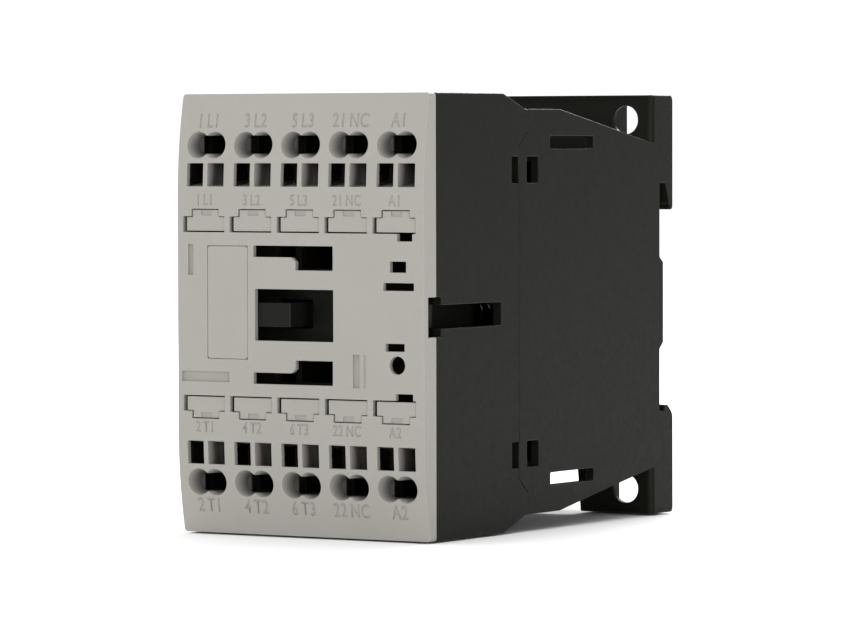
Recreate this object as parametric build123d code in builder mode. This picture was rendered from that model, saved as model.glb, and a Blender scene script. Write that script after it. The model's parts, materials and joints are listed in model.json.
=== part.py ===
from build123d import *
import os

# Three-pole contactor of a motor starter, in millimetres.
# +X is to the right, +Y points to the wall and +Z is up. The origin is the centre of the four screw
# holes, on the wall plane. Most sizes along Y are given as a depth behind the front face.

# ---- overall size ----
WIDTH = 45.0
HEIGHT = 68.0
DEPTH = 77.0
WALL = 1.5
HALF_W = WIDTH / 2
HALF_H = HEIGHT / 2
INNER_X = HALF_W - WALL

# ---- terminals: five columns, one row at the top and one at the bottom ----
PITCH = 8.7
COLUMNS = [-2 * PITCH, -PITCH, 0.0, PITCH, 2 * PITCH]
POLES = {"l1": COLUMNS[0], "l2": COLUMNS[1], "l3": COLUMNS[2]}
AUX_X = COLUMNS[3]
COIL_X = COLUMNS[4]
ROWS = {"top": 1, "bottom": -1}
WIRE_Z = 26.15
WIRE_OFFSET = 1.5
TOOL_SLOT_Z = (19.7, 23.3)

# ---- front cover ----
COVER_DEPTH = 3.5
COVER_WALL = 0.9
BOW_START = 18.0
BOW_RADIUS = 75.0

# ---- housings ----
FLOOR_FRONT = 6.5
FLOOR_BACK = 8.0
SEAM = 28.0
SEAM_STEP = 30.8
SEAM_GAP = 0.1
SEAM_Z = 25.85
SEAM_STEP_Z = 28.2
SHOULDER_Z = 31.6
FLANGE_FRONT = 70.0
FLANGE_Z = 26.3
CAVITY_Z = 23.5
CHANNEL_Z = 25.0
RAIL_FLOOR = 72.7
SCREW_SPACING_X = 35.0
SCREW_SPACING_Z = 60.0
SCREW_HOLE_R = 2.3
SCREW_PLATE_T = 1.1
HOLLOW_X = {1: 14.0, -1: 12.5}

# ---- moving contacts ----
CARRIER_TRAVEL = 3.6
CONTACT_GAP = 2.8
TOUCH = 0.05
TIP_Z = 8.5
TIP_R = 1.7
TIP_T = 0.8
BRIDGE_T = 1.0
BRIDGE_HALF_W = 2.0
BRIDGE_HALF_L = 10.3
RAIL_T = 1.0
RAIL_WIDTH = 5.0
MAIN_RAIL = 21.5
MAIN_BRIDGE = MAIN_RAIL - TIP_T - CONTACT_GAP - TOUCH - TIP_T - BRIDGE_T
AUX_BRIDGE = 14.0
AUX_RAIL_BACK = AUX_BRIDGE - TIP_T - TOUCH - TIP_T
CARRIER_FRONT = 8.6
CARRIER_BACK = 24.0
CARRIER_HALF_Z = 4.6
WINDOW_HALF_X = 2.4
MAIN_WINDOW_FRONT = 10.5
AUX_WINDOW_BACK = 20.5

# ---- magnet ----
MAGNET_HALF_X = 6.5
LEG_Z = 20.0
LEG_INNER_Z = 13.6
CENTRE_LEG_Z = 6.0
YOKE_FRONT = 32.5
YOKE_T = 6.5
POLE_FACE = 50.0
CORE_BACK = 70.0
PIN_R = 1.2
PIN_DEPTH = 35.5
BOBBIN_FRONT = 43.4
BOBBIN_BACK = CORE_BACK - YOKE_T
FLANGE_T = 1.2


def block(x, depth, z, mode=Mode.ADD):
    """A box given by its limits in X, in depth behind the front face, and in Z."""
    centre = ((x[0] + x[1]) / 2, (depth[0] + depth[1]) / 2 - DEPTH, (z[0] + z[1]) / 2)
    with Locations(centre):
        Box(x[1] - x[0], depth[1] - depth[0], z[1] - z[0], mode=mode)


def both_ends(x, depth, z, mode=Mode.ADD):
    """The same box at the top and, mirrored, at the bottom."""
    block(x, depth, z, mode)
    block(x, depth, (-z[1], -z[0]), mode)


def both_sides(x, depth, z, mode=Mode.ADD):
    """The same box at the right and, mirrored, at the left."""
    block(x, depth, z, mode)
    block((-x[1], -x[0]), depth, z, mode)


def side_points(points):
    """Turns (depth, z) pairs into points of the YZ plane."""
    return [(depth - DEPTH, z) for depth, z in points]


def front_plane(depth):
    """A plane parallel to the front face whose normal points at the viewer."""
    return Plane.XZ.offset(DEPTH - depth)


def cylinder_y(x, z, depth, radius, mode=Mode.ADD):
    """A cylinder along Y between two depths."""
    with Locations((x, (depth[0] + depth[1]) / 2 - DEPTH, z)):
        Cylinder(radius, depth[1] - depth[0], rotation=(90, 0, 0), mode=mode)


def save(name, piece):
    """Labels a finished piece and writes it to its own STEP file."""
    piece.part.label = name
    export_step(piece.part, f"parts/{name}.step")


def bow_depth(z):
    """How far the bowed front face lies behind its flat middle at height z."""
    beyond = max(abs(z) - BOW_START, 0.0)
    return BOW_RADIUS - (BOW_RADIUS**2 - beyond**2) ** 0.5


def bowed_profile(inset, half_height, back):
    """The side outline of the bowed front: a flat middle with a tangent arc at each end."""
    middle = (BOW_START + half_height) / 2
    end_y = bow_depth(half_height) + inset - DEPTH
    middle_y = bow_depth(middle) + inset - DEPTH
    flat_y = inset - DEPTH
    with BuildSketch(Plane.YZ) as profile:
        with BuildLine():
            Line((flat_y, -BOW_START), (flat_y, BOW_START))
            ThreePointArc((flat_y, BOW_START), (middle_y, middle), (end_y, half_height))
            Polyline(
                (end_y, half_height),
                (back - DEPTH, half_height),
                (back - DEPTH, -half_height),
                (end_y, -half_height),
            )
            ThreePointArc((end_y, -half_height), (middle_y, -middle), (flat_y, -BOW_START))
        make_face()
    return profile.sketch


def funnel(x, z):
    """Two cones joined by a slot, which lead a pair of wires into one terminal."""
    depth = COVER_DEPTH - 0.4
    for side in (-1, 1):
        with Locations((x + side * WIRE_OFFSET, (depth - 0.5) / 2 - DEPTH, z)):
            Cone(1.35, 2.35, depth + 0.5, rotation=(90, 0, 0), mode=Mode.SUBTRACT)
    block((x - WIRE_OFFSET, x + WIRE_OFFSET), (-1, depth), (z - 1.42, z + 1.42), Mode.SUBTRACT)
    block((x - 2.3, x + 2.3), (depth - 0.1, COVER_DEPTH + 2), (z - 1.4, z + 1.4), Mode.SUBTRACT)


def tool_guides(x, end):
    """The rib between two tool slots and the sloped guide on their inner side."""
    front = 0.5
    back = FLOOR_FRONT - 0.1
    base_z = end * (TOOL_SLOT_Z[0] - 0.8)
    slope = [
        (front, base_z),
        (front, end * TOOL_SLOT_Z[0]),
        (back, end * (TOOL_SLOT_Z[0] + 0.85)),
        (back, base_z),
    ]
    block((x - 0.4, x + 0.4), (front, back), sorted((base_z, end * (TOOL_SLOT_Z[1] + 0.7))))
    with BuildSketch(Plane.YZ.offset(x - 3.5)) as wedge:
        with BuildLine():
            Polyline(*side_points(slope), close=True)
        make_face()
    extrude(wedge.sketch, amount=7.0)


def marker_recess(x, end):
    """The T-shaped opening that a marker plate clips into."""
    wide = sorted((end * 12.63, end * 15.1))
    narrow = sorted((end * 15.0, end * 16.25))
    block((x - 4.1, x + 3.6), (-1, 2), wide, Mode.SUBTRACT)
    block((x - 2.55, x + 2.55), (-1, 2), narrow, Mode.SUBTRACT)


def accessory_slot(end):
    """One of the two stepped slots that hold a front-mounted accessory's hooks."""
    with BuildSketch(front_plane(-1)) as slot:
        with BuildLine():
            Polyline(
                (-8.45, end * 10.65),
                (6.1, end * 10.65),
                (6.1, end * 6.9),
                (-0.7, end * 6.9),
                (-0.7, end * 8.2),
                (-1.45, end * 8.88),
                (-8.45, end * 8.88),
                close=True,
            )
        make_face()
    extrude(slot.sketch, amount=-4, mode=Mode.SUBTRACT)


def front_cover():
    with BuildPart() as cover:
        extrude(bowed_profile(0.0, HALF_H, COVER_DEPTH), amount=HALF_W, both=True)
        fillet(cover.edges().filter_by(Axis.Y), 0.5)
        inner = bowed_profile(COVER_WALL, HALF_H - 1.1, COVER_DEPTH + 1)
        extrude(inner, amount=HALF_W - 1.2, both=True, mode=Mode.SUBTRACT)
        for end in ROWS.values():
            # A solid band carries the wire funnels.
            both = sorted((end * 23.7, end * 28.9))
            block((-HALF_W + 1, HALF_W - 1), (1.0, COVER_DEPTH), both)
            for x in COLUMNS:
                tool_guides(x, end)
            for x in COLUMNS:
                funnel(x, end * WIRE_Z)
                tool = sorted((end * TOOL_SLOT_Z[0], end * TOOL_SLOT_Z[1]))
                block((x - 3.4, x - 0.4), (-1, 1.6), tool, Mode.SUBTRACT)
                block((x + 0.4, x + 3.45), (-1, 1.6), tool, Mode.SUBTRACT)
                marker_recess(x, end)
            accessory_slot(end)
        # The middle window, where the plunger shows.
        block((-8.17, 6.19), (-1, 3), (-3.98, 3.98), Mode.SUBTRACT)
        # Service openings beside the coil terminals.
        block((17.7, 20.4), (-1, 3), (11.5, 12.7), Mode.SUBTRACT)
        block((17.4, 20.5), (-1, 3), (-12.7, -11.6), Mode.SUBTRACT)
        block((16.4, 19.3), (-1, 3), (6.76, 8.45), Mode.SUBTRACT)
        block((15.2, 20.7), (-1, 3), (4.0, 5.2), Mode.SUBTRACT)
        block((15.6, 19.0), (-1, 3), (-5.2, -4.0), Mode.SUBTRACT)
        cylinder_y(17.7, -7.3, (-1, 3), 1.4, Mode.SUBTRACT)
        # Shallow recesses and grooves.
        block((-17.0, -9.5), (-1, 0.45), (-6.93, 10.6), Mode.SUBTRACT)
        block((-20.6, -19.6), (-1, 0.4), (6.0, 10.8), Mode.SUBTRACT)
        block((-21.8, -12.9), (-1, 0.4), (-10.5, -8.9), Mode.SUBTRACT)
        block((9.7, 10.95), (-1, 0.4), (-10.9, -5.8), Mode.SUBTRACT)
        block((11.65, 12.0), (-1, 0.2), (-10.9, -5.8), Mode.SUBTRACT)
        # The side slot for a mechanical interlock starts behind the front face.
        block((21.2, HALF_W + 1), (1.2, 4), (-3.05, 3.05), Mode.SUBTRACT)
    return cover


def marker_plate(x, end):
    """A T-shaped marker plate held by two small lugs behind the cover's front wall."""
    with BuildPart() as plate:
        wide = sorted((end * 12.85, end * 15.0))
        narrow = sorted((end * 15.0, end * 16.1))
        block((x - 3.5, x + 3.5), (0.22, 1.5), wide)
        block((x - 2.4, x + 2.4), (0.22, 1.5), narrow)
        block((x + 3.2, x + 3.8), (COVER_WALL, 1.5), sorted((end * 13.2, end * 14.7)))
        block((x - 1.5, x + 1.5), (COVER_WALL, 1.5), sorted((end * 16.0, end * 16.9)))
        block((x - 0.9, x + 1.1), (0, 0.4), sorted((end * 15.25, end * 16.2)), Mode.SUBTRACT)
    return plate


def device_label():
    with BuildPart() as label:
        block((-16.92, -9.58), (0.05, 0.45), (-6.85, 10.52))
        fillet(label.edges().filter_by(Axis.Y), 0.4)
    return label


def contact_housing():
    """The front housing: terminal chambers, contact chambers and the guide of the contact carrier."""
    back = SEAM_STEP - SEAM_GAP / 2
    outline = [
        (COVER_DEPTH, HALF_H),
        (23.4, HALF_H),
        (30.0, SHOULDER_Z),
        (back, SHOULDER_Z),
        (back, SEAM_STEP_Z + 0.05),
        (SEAM - SEAM_GAP, SEAM_Z + 0.05),
    ]
    mirrored = [(depth, -z) for depth, z in reversed(outline)]
    with BuildPart() as housing:
        with BuildSketch(Plane.YZ) as profile:
            with BuildLine():
                Polyline(*side_points(outline + mirrored), close=True)
            make_face()
        extrude(amount=HALF_W, both=True)
        block((-INNER_X, INNER_X), (0, FLOOR_FRONT), (1.5 - HALF_H, HALF_H - 1.5), Mode.SUBTRACT)
        block((-INNER_X, INNER_X), (FLOOR_BACK, 23.2), (1.5 - HALF_H, HALF_H - 1.5), Mode.SUBTRACT)
        block((-INNER_X, INNER_X), (FLOOR_BACK, 40), (-CAVITY_Z, CAVITY_Z), Mode.SUBTRACT)
        # Barriers between the poles.
        for x in (-1.5 * PITCH, -0.5 * PITCH, 0.5 * PITCH, 1.5 * PITCH):
            both_ends((x - 0.5, x + 0.5), (FLOOR_BACK, 23.2), (5.6, HALF_H - 1.5))
        # Ribs that hold the outer end of each contact rail.
        for x in COLUMNS:
            both_ends((x - 1.2, x + 1.2), (FLOOR_BACK, 20), (29.4, HALF_H - 1.5))
            both_ends((x - 3.0, x + 3.0), (6, 9), (24.6, 27.6), Mode.SUBTRACT)
            both_ends((x - 3.5, x + 3.5), (6, 9), (19.6, 23.6), Mode.SUBTRACT)
        # Tongues that line the cover beside the outermost tool slots.
        for end in ROWS.values():
            both_sides((20.95, INNER_X + 0.25), (1.0, FLOOR_FRONT), sorted((end * 19.0, end * 23.6)))
        # Hook slots of a front-mounted accessory, and the plunger's slot.
        both_ends((-8.4, -4.9), (6, 9), (7.0, 10.6), Mode.SUBTRACT)
        both_ends((-3.8, 3.8), (6, 9), (7.0, 10.6), Mode.SUBTRACT)
        block((-8.35, -1.75), (6, 9), (-2.2, 2.2), Mode.SUBTRACT)
        # A wall beside the carrier's right end.
        block((14.4, 15.2), (FLOOR_BACK, SEAM - SEAM_GAP), (-6.0, 6.0))
        # Side slot for a mechanical interlock.
        block((INNER_X, HALF_W + 1), (0, 5.0), (-3.05, 3.05), Mode.SUBTRACT)
        block((INNER_X - 2, HALF_W + 1), (0, 22.55), (-1.8, 1.8), Mode.SUBTRACT)
        # Snap joint to the base: a notch, and an arm with a nose, at each corner.
        for end in ROWS.values():
            notch = sorted((end * 20.1, end * 24.2))
            both_sides((INNER_X - 0.5, HALF_W + 1), (25.9, 29), notch, Mode.SUBTRACT)
            arm = sorted((end * 20.4, end * 23.3))
            both_sides((20.1, INNER_X + 0.1), (19.0, 25.9), arm)
            both_sides((20.1, 20.9), (25.9, 31.3), arm)
            both_sides((20.5, 21.6), (30.5, 31.3), arm)
    return housing


def is_flange_edge(edge):
    """True for the edges between the front and the sides of the screw flange."""
    centre = edge.center()
    at_front = abs(centre.Y + DEPTH - FLANGE_FRONT) < 0.01
    at_side = abs(centre.X) > HALF_W - 0.01
    return at_front and at_side and abs(centre.Z) > FLANGE_Z


def base_housing():
    """The rear housing: magnet chamber, open side skirts, screw flange and rail groove."""
    upper = [
        (SEAM, SEAM_Z),
        (SEAM_STEP, SEAM_STEP_Z),
        (SEAM_STEP, SHOULDER_Z),
        (40.7, SHOULDER_Z),
        (FLANGE_FRONT, FLANGE_Z),
        (FLANGE_FRONT, HALF_H),
        (DEPTH, HALF_H),
    ]
    rail_groove = [
        (DEPTH, 15.8),
        (76.6, 15.4),
        (76.2, 15.4),
        (75.9, 16.4),
        (74.6, 19.8),
        (RAIL_FLOOR, 19.8),
        (RAIL_FLOOR, 7.75),
        (73.85, 6.9),
        (73.85, -6.2),
        (RAIL_FLOOR, -7.2),
        (RAIL_FLOOR, -17.4),
        (74.2, -17.4),
        (74.2, -16.4),
        (75.3, -16.4),
        (76.6, -17.5),
        (DEPTH, -18.2),
    ]
    lower = [(depth, -z) for depth, z in reversed(upper)]
    with BuildPart() as base:
        with BuildSketch(Plane.YZ):
            with BuildLine():
                Polyline(*side_points(upper + rail_groove + lower), close=True)
            make_face()
        extrude(amount=HALF_W, both=True)
        rear_corners = base.edges().filter_by(Axis.X).group_by(Axis.Y)[-1]
        outer_corners = rear_corners.filter_by(lambda e: abs(e.center().Z) > HALF_H - 0.1)
        fillet(outer_corners, 1.0)
        block((-INNER_X, INNER_X), (20, 71.2), (-CAVITY_Z, CAVITY_Z), Mode.SUBTRACT)
        both_ends((-INNER_X, INNER_X), (20, FLANGE_FRONT), (CHANNEL_Z, HALF_H + 1), Mode.SUBTRACT)
        both_sides((INNER_X - 0.5, HALF_W + 1), (37.6, 51.1), (25.4, 27.4), Mode.SUBTRACT)
        both_sides((INNER_X - 0.5, HALF_W + 1), (37.6, 51.1), (-27.4, -25.4), Mode.SUBTRACT)
        # At the bottom the flange is two lugs with slightly tapered inner edges.
        with BuildSketch(front_plane(FLANGE_FRONT - 1)):
            with BuildLine():
                Polyline((-8.4, -FLANGE_Z), (8.4, -FLANGE_Z), (9.1, -35), (-9.1, -35), close=True)
            make_face()
        extrude(amount=-9, mode=Mode.SUBTRACT)
        for end in ROWS.values():
            z = end * SCREW_SPACING_Z / 2
            for side in (-1, 1):
                x = side * SCREW_SPACING_X / 2
                cylinder_y(x, z, (60, DEPTH + 1), SCREW_HOLE_R, Mode.SUBTRACT)
            # Behind each hole the flange is hollow, and a half-round guide runs on to the wall.
            hollow_x = (HOLLOW_X[end], SCREW_SPACING_X / 2 + 0.3)
            hollow_z = sorted((end * 27.0, end * 32.9))
            hollow_depth = (FLANGE_FRONT + SCREW_PLATE_T, DEPTH + 1)
            both_sides(hollow_x, hollow_depth, hollow_z, Mode.SUBTRACT)
            # Snap windows, with a guide rib inside each.
            window = sorted((end * 20.1, end * 24.2))
            both_sides((INNER_X - 0.5, HALF_W + 1), (30.4, 33.9), window, Mode.SUBTRACT)
            # Ribs that hold the fixed core, and the pockets of the rail spring's ends.
            both_sides((MAGNET_HALF_X, INNER_X), (64.0, 71.3), sorted((end * 9.0, end * 10.5)))
        both_sides((9.8, 12.2), (72.9, 74.4), (19.5, 22.6), Mode.SUBTRACT)
        flange_edges = base.edges().filter_by(Axis.Z).filter_by(is_flange_edge)
        fillet(flange_edges, 1.0)
    return base


def contact_rail(points, x, width, thickness):
    """A bent strip whose centre line is given as (depth, z) points."""
    with BuildPart() as rail:
        with BuildSketch(Plane.YZ.offset(x - width / 2)):
            with BuildLine():
                FilletPolyline(*side_points(points), radius=thickness)
                offset(amount=thickness / 2, side=Side.BOTH)
            make_face()
        extrude(amount=width)
    return rail


def main_rail_points(end):
    middle = MAIN_RAIL + RAIL_T / 2
    return [(9.0, end * 28.9), (middle, end * 28.9), (middle, end * 6.4)]


def aux_rail_points(end):
    middle = MAIN_RAIL + RAIL_T / 2
    front = AUX_RAIL_BACK - RAIL_T / 2
    return [
        (9.0, end * 28.9),
        (middle, end * 28.9),
        (middle, end * 14.0),
        (front, end * 14.0),
        (front, end * 6.4),
    ]


def coil_rail_points(end):
    middle = MAIN_RAIL + RAIL_T / 2
    return [
        (9.0, end * 28.9),
        (middle, end * 28.9),
        (middle, end * 17.5),
        (45.3, end * 17.5),
        (45.3, end * 8.8),
    ]


def clamp_springs(x, end):
    """Two leaf springs that press the wires of one terminal against its rail."""
    strip = 0.35
    anchor = MAIN_RAIL - strip / 2 - TOUCH
    points = [(anchor, end * 18.2), (8.9, end * 18.2), (17.6, end * 28.05)]
    with BuildPart() as springs:
        for side in (-1, 1):
            with BuildSketch(Plane.YZ.offset(x + side * 1.35 - 1.1)):
                with BuildLine():
                    FilletPolyline(*side_points(points), radius=1.5)
                    offset(amount=strip / 2, side=Side.BOTH)
                make_face()
            extrude(amount=2.2)
    return springs


def bridge(x, front):
    with BuildPart() as strip:
        block(
            (x - BRIDGE_HALF_W, x + BRIDGE_HALF_W),
            (front, front + BRIDGE_T),
            (-BRIDGE_HALF_L, BRIDGE_HALF_L),
        )
        fillet(strip.edges().filter_by(Axis.Y), 0.8)
    return strip


def tip_pair(x, depth):
    """The two silver tips of one bridge."""
    with BuildPart() as tips:
        for end in ROWS.values():
            cylinder_y(x, end * TIP_Z, (depth, depth + TIP_T), TIP_R)
    return tips


def fixed_tips():
    with BuildPart() as tips:
        for end in ROWS.values():
            for x in POLES.values():
                cylinder_y(x, end * TIP_Z, (MAIN_RAIL - TIP_T, MAIN_RAIL), TIP_R)
            cylinder_y(AUX_X, end * TIP_Z, (AUX_RAIL_BACK, AUX_RAIL_BACK + TIP_T), TIP_R)
    return tips


def coil_spring(x, z, front, back, radius, wire, turns):
    """A helical compression spring along Y; called inside a part."""
    start = front + wire / 2 + TOUCH
    length = back - front - wire - 2 * TOUCH
    with BuildLine() as path:
        Helix(length / turns, length, radius, center=(x, start - DEPTH, z), direction=(0, 1, 0))
    with BuildSketch(Plane(origin=path.line @ 0, z_dir=path.line % 0)) as section:
        Circle(wire / 2)
    sweep(section.sketch, path=path.line, is_frenet=True)


def contact_spring(x, front, back):
    with BuildPart() as spring:
        coil_spring(x, 0.0, front, back, 1.45, 0.4, 4)
    return spring


def return_springs():
    with BuildPart() as springs:
        for side in (-1, 1):
            coil_spring(side * 11.5, 0.0, CARRIER_BACK, BOBBIN_FRONT, 1.9, 0.5, 8)
    return springs


def contact_carrier():
    """The sliding carrier: plunger, a window for each contact bridge, and a fork for the armature."""
    z = (-CARRIER_HALF_Z, CARRIER_HALF_Z)
    with BuildPart() as carrier:
        block((-20.7, 12.4), (CARRIER_FRONT, CARRIER_BACK), z)
        block((-14.0, 14.0), (22.5, CARRIER_BACK), z)
        for x in POLES.values():
            window = (x - WINDOW_HALF_X, x + WINDOW_HALF_X)
            block(window, (MAIN_WINDOW_FRONT, MAIN_BRIDGE + BRIDGE_T), (-9, 9), Mode.SUBTRACT)
        window = (AUX_X - WINDOW_HALF_X, AUX_X + WINDOW_HALF_X)
        aux_seat = AUX_BRIDGE - (CARRIER_TRAVEL - CONTACT_GAP)
        block(window, (aux_seat, AUX_WINDOW_BACK), (-9, 9), Mode.SUBTRACT)
        # The plunger seen in the front window.
        block((-8.0, -2.1), (0.7, CARRIER_FRONT), (-1.85, 1.85))
        # Neck and fork around the armature's yoke.
        block((-5.5, 5.5), (CARRIER_BACK, YOKE_FRONT - TOUCH), (-3.2, 3.2))
        both_sides((6.8, 8.8), (CARRIER_BACK, 38.0), (-3.2, 3.2))
        with Locations((0, PIN_DEPTH - DEPTH, 0)):
            Cylinder(PIN_R + TOUCH, 30, rotation=(0, 90, 0), mode=Mode.SUBTRACT)
    return carrier


def e_core(yoke, faces):
    """An E-shaped laminated core: a yoke and three legs; called inside a part."""
    x = (-MAGNET_HALF_X, MAGNET_HALF_X)
    legs = (min(yoke + faces), max(yoke + faces))
    block(x, yoke, (-LEG_Z, LEG_Z))
    block(x, legs, (-CENTRE_LEG_Z, CENTRE_LEG_Z))
    both_ends(x, legs, (LEG_INNER_Z, LEG_Z))


def armature():
    yoke = (YOKE_FRONT, YOKE_FRONT + YOKE_T)
    face = POLE_FACE - CARRIER_TRAVEL - TOUCH
    with BuildPart() as core:
        e_core(yoke, (face, face))
        with Locations((0, PIN_DEPTH - DEPTH, 0)):
            Cylinder(PIN_R + TOUCH, 30, rotation=(0, 90, 0), mode=Mode.SUBTRACT)
    return core


def armature_pin():
    with BuildPart() as pin:
        with Locations((0, PIN_DEPTH - DEPTH, 0)):
            Cylinder(PIN_R, 17.4, rotation=(0, 90, 0))
        chamfer(pin.edges(), 0.25)
    return pin


def fixed_core():
    with BuildPart() as core:
        e_core((CORE_BACK - YOKE_T, CORE_BACK), (POLE_FACE, POLE_FACE))
        both_ends((-MAGNET_HALF_X, MAGNET_HALF_X), (POLE_FACE - 1, 51.7), (16.4, 17.4), Mode.SUBTRACT)
    return core


def shading_rings():
    with BuildPart() as rings:
        both_ends((-7.5, 7.5), (50.3, 51.7), (16.4, 21.0))
        both_ends((-MAGNET_HALF_X, MAGNET_HALF_X), (50, 52), (17.4, LEG_Z), Mode.SUBTRACT)
    return rings


def coil_bobbin():
    tube_x = MAGNET_HALF_X + 1.5
    tube_z = CENTRE_LEG_Z + 1.5
    with BuildPart() as bobbin:
        block((-tube_x, tube_x), (BOBBIN_FRONT, BOBBIN_BACK), (-tube_z, tube_z))
        block((-14.5, 14.5), (BOBBIN_FRONT, BOBBIN_FRONT + FLANGE_T), (-13.2, 13.2))
        block((-14.5, 14.5), (BOBBIN_BACK - FLANGE_T, BOBBIN_BACK), (-13.2, 13.2))
        both_ends((13.5, 15.2), (BOBBIN_FRONT, BOBBIN_FRONT + 2.0), (8.5, 11.5))
        block((0.5 - tube_x, tube_x - 0.5), (40, 70), (0.5 - tube_z, tube_z - 0.5), Mode.SUBTRACT)
        block((1.0 - tube_x, tube_x - 1.0), (40, 70), (1.0 - tube_z, tube_z - 1.0), Mode.SUBTRACT)
    return bobbin


def coil_winding():
    with BuildPart() as winding:
        # The copper starts behind the pin blocks of the front flange.
        block((-13.2, 13.2), (BOBBIN_FRONT + FLANGE_T, BOBBIN_BACK - FLANGE_T), (-12.6, 12.6))
        fillet(winding.edges().filter_by(Axis.Y), 3.0)
        tube_x = MAGNET_HALF_X + 1.5
        tube_z = CENTRE_LEG_Z + 1.5
        block((-tube_x, tube_x), (40, 70), (-tube_z, tube_z), Mode.SUBTRACT)
    return winding


def coil_pins():
    with BuildPart() as pins:
        both_ends((15.2, 18.4), (44.0, 44.8), (9.6, 10.4))
    return pins


def core_pad():
    with BuildPart() as pad:
        block((-MAGNET_HALF_X, MAGNET_HALF_X), (CORE_BACK, 71.2), (-18.0, 18.0))
    return pad


def rail_spring():
    """A bent wire in the upper rail groove that presses the rail into the lower groove."""
    bar_z = 17.9
    end_x = 11.0
    end_z = 20.6
    depth = 73.6
    with BuildPart() as spring:
        with BuildLine(front_plane(depth)) as path:
            FilletPolyline((-end_x, end_z), (-end_x, bar_z), (end_x, bar_z), (end_x, end_z), radius=1.0)
        with BuildSketch(Plane(origin=path.line @ 0, z_dir=path.line % 0)):
            Circle(0.5)
        sweep(path=path.line)
    return spring


os.makedirs("parts", exist_ok=True)

save("front_cover", front_cover())
save("contact_housing", contact_housing())
save("base_housing", base_housing())
save("device_label", device_label())
save("rail_spring", rail_spring())

for row, sign in ROWS.items():
    for number, column in enumerate(COLUMNS, start=1):
        save(f"marker_{row}_{number}", marker_plate(column, sign))
        save(f"clamp_springs_{row}_{number}", clamp_springs(column, sign))
    for pole, column in POLES.items():
        save(f"rail_{row}_{pole}", contact_rail(main_rail_points(sign), column, RAIL_WIDTH, RAIL_T))
    save(f"rail_{row}_aux", contact_rail(aux_rail_points(sign), AUX_X, RAIL_WIDTH, RAIL_T))
    save(f"rail_{row}_coil", contact_rail(coil_rail_points(sign), COIL_X, 4.0, RAIL_T))

for pole, column in POLES.items():
    save(f"bridge_{pole}", bridge(column, MAIN_BRIDGE))
    save(f"bridge_tips_{pole}", tip_pair(column, MAIN_BRIDGE + BRIDGE_T))
    save(f"contact_spring_{pole}", contact_spring(column, MAIN_WINDOW_FRONT, MAIN_BRIDGE))
save("bridge_aux", bridge(AUX_X, AUX_BRIDGE))
save("bridge_tips_aux", tip_pair(AUX_X, AUX_BRIDGE - TIP_T))
save("contact_spring_aux", contact_spring(AUX_X, AUX_BRIDGE + BRIDGE_T, AUX_WINDOW_BACK))

save("fixed_tips", fixed_tips())
save("contact_carrier", contact_carrier())
save("armature", armature())
save("armature_pin", armature_pin())
save("fixed_core", fixed_core())
save("shading_rings", shading_rings())
save("coil_bobbin", coil_bobbin())
save("coil_winding", coil_winding())
save("coil_pins", coil_pins())
save("core_pad", core_pad())
save("return_springs", return_springs())
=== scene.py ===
import json
import math

import bmesh
import bpy
from mathutils import Matrix, Vector
from mathutils.geometry import delaunay_2d_cdt

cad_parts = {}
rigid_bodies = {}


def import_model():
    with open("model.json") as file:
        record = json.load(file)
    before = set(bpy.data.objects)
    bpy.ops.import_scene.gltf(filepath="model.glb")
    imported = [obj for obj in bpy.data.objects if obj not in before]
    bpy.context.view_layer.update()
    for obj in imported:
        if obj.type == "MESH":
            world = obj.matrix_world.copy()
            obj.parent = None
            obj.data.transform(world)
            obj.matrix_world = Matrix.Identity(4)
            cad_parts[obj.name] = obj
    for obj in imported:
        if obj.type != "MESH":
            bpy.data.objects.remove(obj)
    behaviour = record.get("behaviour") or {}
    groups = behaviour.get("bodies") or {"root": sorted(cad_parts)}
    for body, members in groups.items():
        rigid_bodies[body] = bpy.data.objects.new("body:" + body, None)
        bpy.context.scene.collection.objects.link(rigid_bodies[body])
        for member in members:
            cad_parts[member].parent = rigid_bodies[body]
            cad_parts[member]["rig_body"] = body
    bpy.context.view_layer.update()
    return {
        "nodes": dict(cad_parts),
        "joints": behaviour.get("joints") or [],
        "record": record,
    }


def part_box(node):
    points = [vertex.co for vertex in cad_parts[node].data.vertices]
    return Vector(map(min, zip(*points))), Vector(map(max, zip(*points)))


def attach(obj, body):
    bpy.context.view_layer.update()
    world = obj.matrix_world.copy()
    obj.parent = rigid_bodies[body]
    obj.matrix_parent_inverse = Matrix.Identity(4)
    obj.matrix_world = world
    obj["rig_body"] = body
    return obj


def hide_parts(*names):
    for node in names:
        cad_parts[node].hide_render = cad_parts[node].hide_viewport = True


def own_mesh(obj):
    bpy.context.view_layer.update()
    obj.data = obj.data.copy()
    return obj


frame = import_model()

# A small motor contactor: grey marked cover, black housings and the metal parts inside them.

MM = 0.001
NODES = frame["nodes"]
PARTS = frame["record"]["subparts"]
POLES = ("l1", "l2", "l3", "aux")
ROWS = {"top": 1, "bottom": -1}
COLUMN_COUNT = 5

FRONT_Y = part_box("front_cover")[0].y
BOTTOM_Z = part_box("front_cover")[0].z
HALF_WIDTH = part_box("front_cover")[1].x
HALF_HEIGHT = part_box("front_cover")[1].z
# The marking is a film this thick, so the moulded front face lies this far inside the CAD face.
MARKING = 0.03 * MM


# ---------------------------------------------------------------- materials

# Scales of the noise textures, which count their features per metre.
CLOUD_SCALE = 70
SPECKLE_SCALE = 5200
FINE_SCALE = 3600
WAVE_SCALE = 160
GLOSS_SCALE = 900
EDGE_HIGHLIGHT_SCALE = 420
TARNISH_SCALE = 260
STREAK_SCALE = 1500
SHEET_TARNISH_SCALE = 300
INK_DENSITY_SCALE = 3000
INK_GRAIN_SCALE = 4000


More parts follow.
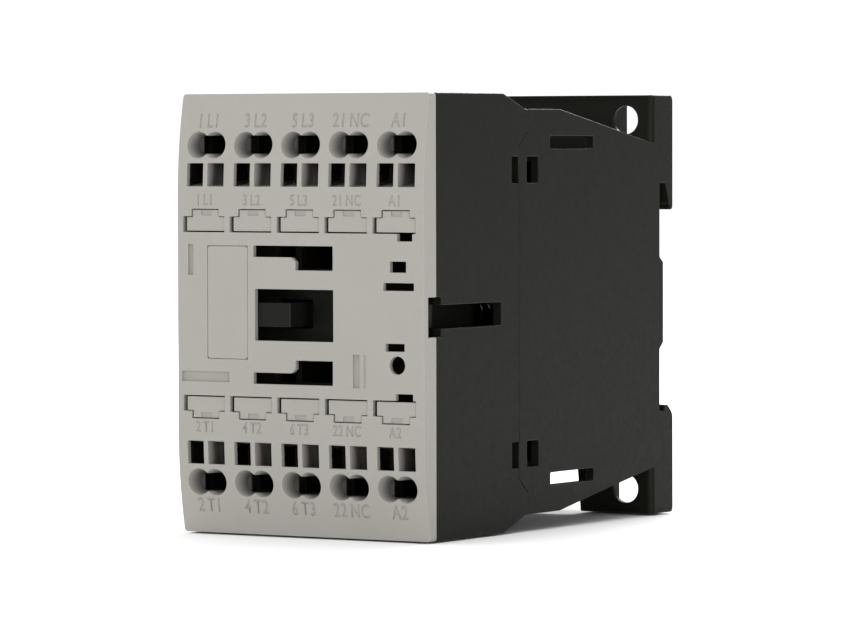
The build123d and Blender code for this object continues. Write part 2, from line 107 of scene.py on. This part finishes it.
def new_material(name):
    """An empty node material with its shader and output."""
    material = bpy.data.materials.new(name)
    material.use_nodes = True
    tree = material.node_tree
    tree.nodes.clear()
    output = tree.nodes.new("ShaderNodeOutputMaterial")
    shader = tree.nodes.new("ShaderNodeBsdfPrincipled")
    tree.links.new(shader.outputs["BSDF"], output.inputs["Surface"])
    return material, tree, shader


def node(tree, kind, **settings):
    """Adds a node; settings are its properties, or its inputs by name."""
    made = tree.nodes.new(kind)
    for key, value in settings.items():
        if key in made.inputs:
            made.inputs[key].default_value = value
        else:
            setattr(made, key, value)
    return made


def grain(tree, scale, detail=3.0, stretch=(1, 1, 1)):
    """Noise in the object's own metres, scaled along each axis."""
    place = node(tree, "ShaderNodeTexCoord")
    mapping = node(tree, "ShaderNodeMapping")
    mapping.inputs["Scale"].default_value = stretch
    noise = node(tree, "ShaderNodeTexNoise", Scale=scale, Detail=detail, Roughness=0.55)
    tree.links.new(place.outputs["Object"], mapping.inputs["Vector"])
    tree.links.new(mapping.outputs["Vector"], noise.inputs["Vector"])
    return noise.outputs["Fac"]


def spread(tree, value, low, high, start=0.3, end=0.7):
    """Maps a value between start and end to one between low and high."""
    remap = node(tree, "ShaderNodeMapRange")
    remap.inputs["From Min"].default_value = start
    remap.inputs["From Max"].default_value = end
    remap.inputs["To Min"].default_value = low
    remap.inputs["To Max"].default_value = high
    tree.links.new(value, remap.inputs["Value"])
    return remap.outputs["Result"]


# A Mix node has inputs of the same name for each type of data, so its colours go by number.
FIRST_COLOUR = 6
SECOND_COLOUR = 7
COLOUR_RESULT = 2


def mixed(tree, factor, first, second):
    """A colour mix by a factor socket; first and second are colours or sockets."""
    mix = node(tree, "ShaderNodeMix", data_type="RGBA")
    tree.links.new(factor, mix.inputs["Factor"])
    for number, value in ((FIRST_COLOUR, first), (SECOND_COLOUR, second)):
        socket = mix.inputs[number]
        if isinstance(value, bpy.types.NodeSocket):
            tree.links.new(value, socket)
        else:
            socket.default_value = (*value, 1.0)
    return mix.outputs[COLOUR_RESULT]


def bumped(tree, shader, layers):
    """Stacks bump layers, each a height socket with its depth in metres."""
    normal = None
    for height, depth in layers:
        bump = node(tree, "ShaderNodeBump", Strength=1.0, Distance=depth)
        tree.links.new(height, bump.inputs["Height"])
        if normal is not None:
            tree.links.new(normal, bump.inputs["Normal"])
        normal = bump.outputs["Normal"]
    tree.links.new(normal, shader.inputs["Normal"])


def painted_edge_highlight(tree, amount):
    """A painted highlight along the rounded edges, broken up by noise, from the mask that the shells
    carry.
    """
    mask = node(tree, "ShaderNodeAttribute", attribute_name="edge")
    edge_highlight = node(tree, "ShaderNodeMath", operation="MULTIPLY")
    least = 0.4
    tree.links.new(mask.outputs["Fac"], edge_highlight.inputs[0])
    tree.links.new(spread(tree, grain(tree, EDGE_HIGHLIGHT_SCALE, 3), amount * least, amount), edge_highlight.inputs[1])
    return edge_highlight.outputs["Value"]


def moulded_plastic(name, colour, shade, edge, roughness, fine=0.006, shine=0.4):
    """Matte moulded plastic: fine grain, faint cloudiness, a painted highlight on the edges and a painted
    shade in the openings.
    """
    material, tree, shader = new_material(name)
    clouds = spread(tree, grain(tree, CLOUD_SCALE, 4), 0.0, 0.5)
    body = mixed(tree, clouds, colour, shade)
    speckle = spread(tree, grain(tree, SPECKLE_SCALE, 2), 0.0, 0.35, 0.35, 0.65)
    body = mixed(tree, speckle, body, shade)
    # Painted highlight: the rounded edges turn lighter, as if they caught the light.
    body = mixed(tree, painted_edge_highlight(tree, 0.8), body, edge)
    # Painted shade: surfaces darken with their depth behind the front face, where the openings get little
    # light.
    depth = node(tree, "ShaderNodeAttribute", attribute_name="depth")
    recess_shade_factor = spread(tree, depth.outputs["Fac"], 0.0, 0.85, 0.1, 1.0)
    body = mixed(tree, recess_shade_factor, body, PAINTED_RECESS_SHADE)
    tree.links.new(body, shader.inputs["Base Color"])
    rough = spread(tree, grain(tree, GLOSS_SCALE, 3), roughness - 0.05, roughness + 0.06)
    tree.links.new(rough, shader.inputs["Roughness"])
    shader.inputs["Specular IOR Level"].default_value = shine
    fine_grain = grain(tree, FINE_SCALE, 3)
    waves = grain(tree, WAVE_SCALE, 2)
    bumped(tree, shader, [(waves, 0.02 * MM), (fine_grain, fine * MM)])
    return material


def metal(name, colour, shade, roughness, stretch=(1, 1, 1), scratch=0.004):
    """Bare metal with drawn or rolled streaks and a light tarnish."""
    material, tree, shader = new_material(name)
    tarnish = spread(tree, grain(tree, TARNISH_SCALE, 4), 0.0, 0.8)
    tree.links.new(mixed(tree, tarnish, colour, shade), shader.inputs["Base Color"])
    streaks = grain(tree, STREAK_SCALE, 3, stretch)
    tree.links.new(spread(tree, streaks, roughness - 0.06, roughness + 0.12), shader.inputs["Roughness"])
    shader.inputs["Metallic"].default_value = 1.0
    bumped(tree, shader, [(streaks, scratch * MM)])
    return material


def laminated_steel(name):
    """A stacked-sheet core: thin joints at regular steps across its thickness."""
    material, tree, shader = new_material(name)
    place = node(tree, "ShaderNodeTexCoord")
    wave = node(tree, "ShaderNodeTexWave", Scale=100.0, Distortion=0.0)
    tree.links.new(place.outputs["Object"], wave.inputs["Vector"])
    joints = spread(tree, wave.outputs["Fac"], 0.0, 1.0, 0.0, 0.25)
    tarnish = spread(tree, grain(tree, SHEET_TARNISH_SCALE, 4), 0.0, 0.7)
    sheet = mixed(tree, tarnish, (0.42, 0.42, 0.41), (0.25, 0.24, 0.22))
    tree.links.new(mixed(tree, joints, (0.08, 0.07, 0.06), sheet), shader.inputs["Base Color"])
    shader.inputs["Metallic"].default_value = 0.9
    shader.inputs["Roughness"].default_value = 0.42
    bumped(tree, shader, [(joints, 0.03 * MM)])
    return material


def wound_copper(name):
    """Enamelled wire lying in turns around the bobbin."""
    material, tree, shader = new_material(name)
    place = node(tree, "ShaderNodeTexCoord")
    wave = node(tree, "ShaderNodeTexWave", Scale=420.0, Distortion=0.4, bands_direction="Y")
    tree.links.new(place.outputs["Object"], wave.inputs["Vector"])
    turns = spread(tree, wave.outputs["Fac"], 0.0, 1.0, 0.0, 0.6)
    tree.links.new(mixed(tree, turns, (0.22, 0.07, 0.03), (0.70, 0.27, 0.12)), shader.inputs["Base Color"])
    shader.inputs["Metallic"].default_value = 0.85
    shader.inputs["Roughness"].default_value = 0.3
    bumped(tree, shader, [(turns, 0.05 * MM)])
    return material


def ink(name, colour):
    """Laser marking: a slightly browned film with a ragged density."""
    material, tree, shader = new_material(name)
    density = spread(tree, grain(tree, INK_DENSITY_SCALE, 3), 0.0, 0.5)
    paler = 1.35
    lighter = tuple(min(1.0, c * paler) for c in colour)
    tree.links.new(mixed(tree, density, colour, lighter), shader.inputs["Base Color"])
    shader.inputs["Roughness"].default_value = 0.6
    bumped(tree, shader, [(grain(tree, INK_GRAIN_SCALE, 2), 0.004 * MM)])
    return material


# A painted shade for the moulded shells behind the front face, such as the walls of its openings.
PAINTED_RECESS_SHADE = (0.012, 0.012, 0.010)
COVER_GREY = (0.322, 0.310, 0.286)
COVER_SHADE = (0.296, 0.284, 0.260)
# A painted highlight for the cover's rounded edges.
COVER_EDGE_HIGHLIGHT = (0.43, 0.415, 0.385)
HOUSING_BLACK = (0.0080, 0.0088, 0.0058)
HOUSING_SHADE = (0.0064, 0.0070, 0.0046)
# A painted highlight for the rounded edges of the black mouldings.
HOUSING_EDGE_HIGHLIGHT = (0.040, 0.041, 0.036)
CARRIER_BLACK = (0.0085, 0.0092, 0.0072)
BOBBIN_BLACK = (0.03, 0.03, 0.03)
RUBBER = (0.02, 0.02, 0.02)

MATERIALS = {
    "cover_plastic": moulded_plastic("cover_grey", COVER_GREY, COVER_SHADE, COVER_EDGE_HIGHLIGHT, 0.56),
    "label_plastic": moulded_plastic("label_grey", COVER_GREY, COVER_SHADE, COVER_EDGE_HIGHLIGHT, 0.5, 0.003),
    "housing_plastic": moulded_plastic(
        "housing_black", HOUSING_BLACK, HOUSING_SHADE, HOUSING_EDGE_HIGHLIGHT, 0.4, 0.006, 0.07
    ),
    "carrier_plastic": moulded_plastic(
        "carrier_black", CARRIER_BLACK, HOUSING_SHADE, HOUSING_EDGE_HIGHLIGHT, 0.42, 0.005, 0.1
    ),
    "bobbin_plastic": moulded_plastic("bobbin_black", BOBBIN_BLACK, RUBBER, HOUSING_EDGE_HIGHLIGHT, 0.4),
    "spring_steel": metal("spring_steel", (0.60, 0.60, 0.58), (0.42, 0.41, 0.39), 0.28),
    "core_steel": laminated_steel("core_steel"),
    "brass_rail": metal("tinned_brass", (0.66, 0.60, 0.46), (0.50, 0.43, 0.30), 0.34, (1, 1, 0.1)),
    "copper": metal("copper", (0.72, 0.38, 0.24), (0.50, 0.24, 0.14), 0.32, (1, 1, 0.1)),
    "silver": metal("silver_alloy", (0.80, 0.79, 0.76), (0.62, 0.60, 0.56), 0.25),
    "pad_rubber": moulded_plastic("pad_rubber", RUBBER, CARRIER_BLACK, HOUSING_EDGE_HIGHLIGHT, 0.75, 0.01),
}
WINDING = wound_copper("enamelled_winding")
MARKING_INK = ink("marking_ink", (0.23, 0.217, 0.195))


def dress(piece, material):
    """Makes a material the only one of a piece."""
    piece.data.materials.clear()
    piece.data.materials.append(material)


def dress_cad_nodes():
    """Gives every CAD node the material of its slot."""
    for part in PARTS:
        dress(NODES[part["node"]], MATERIALS[part["material_slot"]])
    dress(NODES["coil_winding"], WINDING)


# ---------------------------------------------------------------- shells

# The cover's front is flat in the middle and an arc beyond this height, towards each end.
BOW_START = 18.0 * MM
BOW_RADIUS = 75.0 * MM
# The moulded shells take on the painted shade between the front face and this depth.
PAINTED_SHADE_DEPTH = 2.4 * MM
# Points this close to the outline belong to the outer walls, which keep their own colour without the
# painted shade.
OUTER_SKIN = 0.3 * MM
# Points this close to the front face take its exact normal.
ON_SURFACE = 0.005 * MM
# A normal whose Y is below this faces the front.
FACES_FRONT = -0.9

# Edge radius of each piece in mm. The marker plates have one of their own, and the rest aren't rounded.
ROUNDING = {
    "front_cover": 0.07,
    "contact_housing": 0.16,
    "base_housing": 0.2,
    "device_label": 0.05,
    "contact_carrier": 0.15,
    "armature": 0.12,
    "fixed_core": 0.12,
    "coil_bobbin": 0.1,
}
MARKER_ROUNDING = 0.08
ARC_SEGMENTS = 2
# Slots of a shell's faces while it is made: flats first, then the rounded edges.
FLAT_SLOT = 0
ROUNDED_SLOT = 1
SHARP = math.radians(32)
SHALLOW = math.radians(4)
LARGE_FLAT = 30 * MM * MM
SMALL_FLAT = 0.02 * MM * MM
PLANE_GAP = 0.002 * MM
MERGE_GAP = 0.002 * MM
NEARLY_FLAT = math.radians(0.5)
# Points of a flat closer than this, in mm, become one when it is refilled.
POINT_GAP = 1e-5


def weigh_edges(shape):
    """Marks the edges to round: the sharp ones, and shallow ones between two large flats."""
    weights = shape.edges.layers.float.new("bevel_weight_edge")
    for edge in shape.edges:
        if len(edge.link_faces) != 2:
            continue
        angle = edge.calc_face_angle()
        flats_meet = min(face.calc_area() for face in edge.link_faces) > LARGE_FLAT
        if angle > SHARP or (angle > SHALLOW and flats_meet):
            edge[weights] = 1.0


def flat_regions(shape):
    """Groups of touching faces that lie in one plane, each with the plane's normal."""
    flats = sorted(
        (face for face in shape.faces if face.material_index == FLAT_SLOT),
        key=lambda face: (-face.calc_area(), face.index),
    )
    taken = set()
    for seed in flats:
        if seed in taken or seed.calc_area() < SMALL_FLAT:
            continue
        normal = seed.normal.copy()
        level = normal.dot(seed.verts[0].co)
        taken.add(seed)
        region = [seed]
        for face in region:
            for edge in face.edges:
                for other in edge.link_faces:
                    if other in taken or other.material_index != FLAT_SLOT:
                        continue
                    if all(abs(normal.dot(vertex.co) - level) < PLANE_GAP for vertex in other.verts):
                        taken.add(other)
                        region.append(other)
        facing = sum((face.normal * face.calc_area() for face in region), Vector())
        yield region, normal if facing.dot(normal) > 0 else -normal


def inside(u, v, segments):
    """Whether a point lies within closed outlines."""
    crossings = 0
    for (u1, v1), (u2, v2) in segments:
        if (v1 > v) != (v2 > v) and u < u1 + (v - v1) * (u2 - u1) / (v2 - v1):
            crossings += 1
    return crossings % 2 == 1


def refill(shape, region, normal):
    """Cuts a flat into clean triangles between its outlines."""
    members = set(region)
    outline = []
    for face in region:
        for edge in face.edges:
            if sum(other in members for other in edge.link_faces) == 1:
                outline.append(edge)
    corners = list(dict.fromkeys(vertex for edge in outline for vertex in edge.verts))
    place = {vertex: index for index, vertex in enumerate(corners)}
    across = normal.orthogonal().normalized()
    along = normal.cross(across)
    points = [Vector((across.dot(c.co), along.dot(c.co))) / MM for c in corners]
    pairs = [(place[edge.verts[0]], place[edge.verts[1]]) for edge in outline]
    cut_points, _, triangles, sources, _, _ = delaunay_2d_cdt(points, pairs, [], 0, POINT_GAP)
    segments = [(points[a], points[b]) for a, b in pairs]
    level = normal.dot(region[0].verts[0].co)
    bmesh.ops.delete(shape, geom=region, context="FACES_ONLY")
    used = {}
    for triangle in triangles:
        middle = sum((cut_points[index] for index in triangle), Vector((0, 0))) / 3
        if not inside(middle.x, middle.y, segments):
            continue
        for index in triangle:
            if index not in used and sources[index]:
                used[index] = corners[sources[index][0]]
            elif index not in used:
                flat = cut_points[index] * MM
                used[index] = shape.verts.new(across * flat.x + along * flat.y + normal * level)
        if shape.faces.get([used[index] for index in triangle]) is None:
            face = shape.faces.new([used[index] for index in triangle])
            face.normal_update()


def refill_flats(mesh):
    """Refills every flat, as rounding the edges of its triangles can fold the thin ones over."""
    shape = bmesh.new()
    shape.from_mesh(mesh)
    for region, normal in list(flat_regions(shape)):
        if len(region) > 2:
            refill(shape, region, normal)
    loose = [edge for edge in shape.edges if not edge.link_faces]
    bmesh.ops.delete(shape, geom=loose, context="EDGES")
    shape.to_mesh(mesh)
    shape.free()


def bow_normal(place):
    """The exact normal of the cover's bowed front at a point on it, or None elsewhere."""
    if abs(place.y - front_surface(place.z)) > ON_SURFACE:
        return None
    lean = max(abs(place.z) - BOW_START, 0.0) / BOW_RADIUS
    return Vector((0.0, -math.sqrt(1 - lean**2), math.copysign(lean, place.z)))


def painted_shade_amount(place):
    """How far a point of any shell lies behind the front face, from 0 to 1, which sets its painted shade.
    The outer walls stay 0.
    """
    if abs(place.x) > HALF_WIDTH - OUTER_SKIN or abs(place.z) > HALF_HEIGHT - OUTER_SKIN:
        return 0.0
    behind = (place.y - front_surface(place.z)) / PAINTED_SHADE_DEPTH
    return min(max(behind, 0.0), 1.0)


def finish_normals(mesh):
    """Keeps flats flat beside their rounded edges, and writes the masks of the edges, for their painted
    highlight, and of depth, for the painted shade.
    """
    flat_normals = {}
    round_normals = {}
    for polygon in mesh.polygons:
        rounded = polygon.material_index == ROUNDED_SLOT
        normals = round_normals if rounded else flat_normals
        for index in polygon.vertices:
            normals[index] = normals.get(index, Vector()) + polygon.normal * polygon.area
        polygon.material_index = FLAT_SLOT
        polygon.use_smooth = True
    mask = mesh.attributes.new("edge", "FLOAT", "POINT")
    depth = mesh.attributes.new("depth", "FLOAT", "POINT")
    chosen = []
    for index in range(len(mesh.vertices)):
        on_flat = index in flat_normals
        mask.data[index].value = 0.0 if on_flat else 1.0
        depth.data[index].value = painted_shade_amount(mesh.vertices[index].co)
        normal = flat_normals[index] if on_flat else round_normals[index]
        normal = normal.normalized()
        if on_flat and normal.y < FACES_FRONT:
            normal = bow_normal(mesh.vertices[index].co) or normal
        chosen.append(normal)
    mesh.normals_split_custom_set_from_vertices(chosen)


def keep_inside(mesh, low, high):
    """Holds a rounded shape to its CAD box, past which tight corners can push a vertex."""
    for vertex in mesh.vertices:
        vertex.co = Vector(min(max(c, least), most) for c, least, most in zip(vertex.co, low, high))


def rounded_copy(name, radius):
    """A new piece with a CAD node's shape and rounded edges."""
    mesh = NODES[name].data.copy()
    piece = bpy.data.objects.new(name + "_shell", mesh)
    bpy.context.collection.objects.link(piece)
    dress(piece, None)
    mesh.materials.append(None)
    shape = bmesh.new()
    shape.from_mesh(mesh)
    bmesh.ops.remove_doubles(shape, verts=shape.verts, dist=MERGE_GAP)
    bmesh.ops.dissolve_limit(shape, angle_limit=NEARLY_FLAT, verts=shape.verts, edges=shape.edges)
    weigh_edges(shape)
    bmesh.ops.triangulate(shape, faces=shape.faces, quad_method="BEAUTY", ngon_method="BEAUTY")
    shape.to_mesh(mesh)
    shape.free()
    bevel = piece.modifiers.new("edges", "BEVEL")
    bevel.width = radius
    bevel.segments = ARC_SEGMENTS
    bevel.limit_method = "WEIGHT"
    bevel.material = ROUNDED_SLOT
    bevel.use_clamp_overlap = False
    bevel.miter_outer = "MITER_ARC"
    depsgraph = bpy.context.evaluated_depsgraph_get()
    rounded = bpy.data.meshes.new_from_object(piece.evaluated_get(depsgraph))
    piece.modifiers.clear()
    piece.data = rounded
    keep_inside(rounded, *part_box(name))
    refill_flats(rounded)
    return piece


def stand_in(piece, name):
    """Puts a new piece in a CAD node's place, with the node's body and the material of its slot."""
    slot = next(part["material_slot"] for part in PARTS if part["node"] == name)
    dress(piece, MATERIALS[slot])
    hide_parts(name)
    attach(piece, NODES[name]["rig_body"])


def make_shells():
    """Puts a rounded copy in the place of each moulding, of the armature and of the fixed core."""
    radii = dict(ROUNDING)
    for row in ROWS:
        for number in range(1, COLUMN_COUNT + 1):
            radii[f"marker_{row}_{number}"] = MARKER_ROUNDING
    for name, radius in radii.items():
        piece = rounded_copy(name, radius * MM)
        if name == "front_cover":
            sink_front(piece)
        finish_normals(piece.data)
        stand_in(piece, name)


def sink_front(cover):
    """Moves the cover's front skin in by the thickness of the marking."""
    for vertex in cover.data.vertices:
        if vertex.co.y < front_surface(vertex.co.z) - MARKING / 2:
            vertex.co.y += MARKING


def compress(name, fixed_y, travel):
    """A copy of a spring in its CAD node's place; fixed_y and travel are not used."""
    piece = bpy.data.objects.new(name + "_live", NODES[name].data.copy())
    bpy.context.collection.objects.link(piece)
    stand_in(piece, name)
    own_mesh(piece)


def make_springs():
    """Copies of the return springs, which push the carrier out, and of each contact spring, which presses
    its bridge.
    """
    travels = {joint["name"]: max(map(abs, joint["range_m"])) for joint in frame["joints"]}
    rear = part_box("return_springs")[1].y
    compress("return_springs", rear, travels["carrier_slide"])
    for pole in POLES:
        spring = f"contact_spring_{pole}"
        float_joint = f"bridge_{pole}_float"
        compress(spring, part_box(spring)[0].y, travels[float_joint])


# ---------------------------------------------------------------- marking


def front_surface(z):
    """Y of the moulded front face at height z."""
    beyond = max(abs(z) - BOW_START, 0.0)
    return FRONT_Y + MARKING + BOW_RADIUS - math.sqrt(BOW_RADIUS**2 - beyond**2)


# The font's size and the boldness for a letter height of 1, its spaces, and the letters' width.
FONT_SIZE = 1.44
BOLDNESS = 0.014
LETTER_SPACE = 1.12
WORD_SPACE = 0.5
NARROW = 0.76


def lettering(name, text, x, z, height):
    """Marking on the bowed front, centred on x and z. The letters are narrow, as on a small device."""
    curve = bpy.data.curves.new(name, "FONT")
    curve.body = text
    curve.align_x = "CENTER"
    curve.align_y = "CENTER"
    curve.size = height * FONT_SIZE
    curve.offset = height * BOLDNESS
    curve.space_character = LETTER_SPACE
    curve.space_word = WORD_SPACE
    flat = bpy.data.objects.new(name, curve)
    bpy.context.collection.objects.link(flat)
    depsgraph = bpy.context.evaluated_depsgraph_get()
    mesh = bpy.data.meshes.new_from_object(flat.evaluated_get(depsgraph))
    bpy.data.objects.remove(flat)
    piece = bpy.data.objects.new(name, mesh)
    bpy.context.collection.objects.link(piece)
    shape = bmesh.new()
    shape.from_mesh(mesh)
    solid = bmesh.ops.extrude_face_region(shape, geom=shape.faces[:])
    raised = {v for v in solid["geom"] if isinstance(v, bmesh.types.BMVert)}
    for vertex in shape.verts:
        height_here = z + vertex.co.y
        depth = -MARKING if vertex in raised else MARKING
        vertex.co = Vector((x + vertex.co.x * NARROW, front_surface(height_here) + depth, height_here))
    bmesh.ops.recalc_face_normals(shape, faces=shape.faces)
    shape.to_mesh(mesh)
    shape.free()
    dress(piece, MARKING_INK)
    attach(piece, "housing")


# Each terminal is marked twice. The places are from the middle of its marker plate and of the device.
OUTER_MARK_X = 0.05 * MM
OUTER_MARK_Z = 29.75 * MM
OUTER_MARK_HEIGHT = 2.1 * MM
INNER_MARK_X = -0.2 * MM
INNER_MARK_Z = 17.55 * MM
INNER_MARK_HEIGHT = 1.65 * MM


def mark_terminals():
    """Standard terminal designations above and below each terminal."""
    labels = {
        "top": ("1 L1", "3 L2", "5 L3", "21 NC", "A1"),
        "bottom": ("2 T1", "4 T2", "6 T3", "22 NC", "A2"),
    }
    for row, sign in ROWS.items():
        for number, text in enumerate(labels[row], start=1):
            low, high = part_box(f"marker_{row}_{number}")
            x = (low.x + high.x) / 2
            outer = (x + OUTER_MARK_X, sign * OUTER_MARK_Z, OUTER_MARK_HEIGHT)
            inner = (x + INNER_MARK_X, sign * INNER_MARK_Z, INNER_MARK_HEIGHT)
            lettering(f"outer_mark_{row}_{number}", text, *outer)
            lettering(f"inner_mark_{row}_{number}", text, *inner)


# ---------------------------------------------------------------- stage

# Strength of the white around the device, and of the dim part.
WHITE = 1.08
DIM = 0.40
DIM_SIDE = (0.99, -0.14, 0.0)
FLOOR_HALF = 40.0
FLOOR_GAP = 0.3 * MM
# Where the lamps aim: about the middle of the device.
LAMP_TARGET = (0.0, -0.035, 0.0)


def make_floor():
    """A plain pale floor under the device."""
    mesh = bpy.data.meshes.new("floor")
    half = FLOOR_HALF
    corners = [(-half, -half, 0), (half, -half, 0), (half, half, 0), (-half, half, 0)]
    mesh.from_pydata(corners, [], [(0, 1, 2, 3)])
    floor = bpy.data.objects.new("floor", mesh)
    floor.location.z = BOTTOM_Z - FLOOR_GAP
    bpy.context.collection.objects.link(floor)
    material, tree, shader = new_material("pale_floor")
    shade = spread(tree, grain(tree, 3, 2), 0.0, 1.0)
    tree.links.new(mixed(tree, shade, (0.90, 0.90, 0.90), (0.93, 0.93, 0.93)), shader.inputs["Base Color"])
    shader.inputs["Roughness"].default_value = 0.9
    dress(floor, material)


def area_light(name, place, width, height, power):
    """A rectangular lamp at a place, aimed at the device. Sizes are in metres and power in watts."""
    light = bpy.data.lights.new(name, "AREA")
    light.shape = "RECTANGLE"
    light.size = width
    light.size_y = height
    light.energy = power
    holder = bpy.data.objects.new(name, light)
    holder.location = place
    aim = Vector(LAMP_TARGET) - Vector(place)
    holder.rotation_euler = aim.to_track_quat("-Z", "Y").to_euler()
    bpy.context.collection.objects.link(holder)


def make_world():
    """White all round, falling to grey on the right, where the studio is dark."""
    world = bpy.data.worlds.new("studio")
    world.use_nodes = True
    tree = world.node_tree
    place = node(tree, "ShaderNodeTexCoord")
    facing = node(tree, "ShaderNodeVectorMath", operation="DOT_PRODUCT")
    facing.inputs[1].default_value = DIM_SIDE
    tree.links.new(place.outputs["Generated"], facing.inputs[0])
    background = tree.nodes["Background"]
    background.inputs["Color"].default_value = (1.0, 1.0, 1.0, 1.0)
    strength = spread(tree, facing.outputs["Value"], WHITE, DIM, -0.25, 0.55)
    tree.links.new(strength, background.inputs["Strength"])
    bpy.context.scene.world = world


def make_lights():
    """A lamp behind, one on the right, one in front, and a broad soft sun overhead."""
    area_light("rim_behind", (-0.08, 0.62, 0.42), width=0.40, height=0.10, power=4.5)
    area_light("edge_right", (0.72, -0.46, -0.10), width=0.10, height=0.5, power=4.6)
    area_light("key_front", (0.30, -0.86, 0.30), width=0.35, height=0.35, power=1.5)
    overhead = bpy.data.lights.new("overhead", "SUN")
    overhead.energy = 1.3
    overhead.angle = math.radians(60)
    holder = bpy.data.objects.new("overhead", overhead)
    bpy.context.collection.objects.link(holder)


def make_camera():
    """The camera of the reference view: from the right, just above the device's middle."""
    eye = Vector((0.43406, -0.73860, 0.02694))
    yaw = 0.5563
    pitch = 0.03465
    roll = -0.002
    forward = Vector(
        (-math.sin(yaw) * math.cos(pitch), math.cos(yaw) * math.cos(pitch), -math.sin(pitch))
    )
    right = Vector((math.cos(yaw), math.sin(yaw), 0.0))
    up = right.cross(forward)
    level_right = right * math.cos(roll) + up * math.sin(roll)
    level_up = level_right.cross(forward)
    camera = bpy.data.cameras.new("camera")
    camera.lens = 219.1
    camera.sensor_width = 36.0
    camera.clip_start = 0.05
    camera.clip_end = 100.0
    holder = bpy.data.objects.new("camera", camera)
    turn = Matrix((level_right, level_up, -forward)).transposed()
    holder.matrix_world = Matrix.Translation(eye) @ turn.to_4x4()
    bpy.context.collection.objects.link(holder)
    bpy.context.scene.camera = holder


dress_cad_nodes()
make_shells()
make_springs()
mark_terminals()
make_floor()
make_world()
make_lights()
make_camera()
bpy.context.scene.view_settings.view_transform = "Standard"
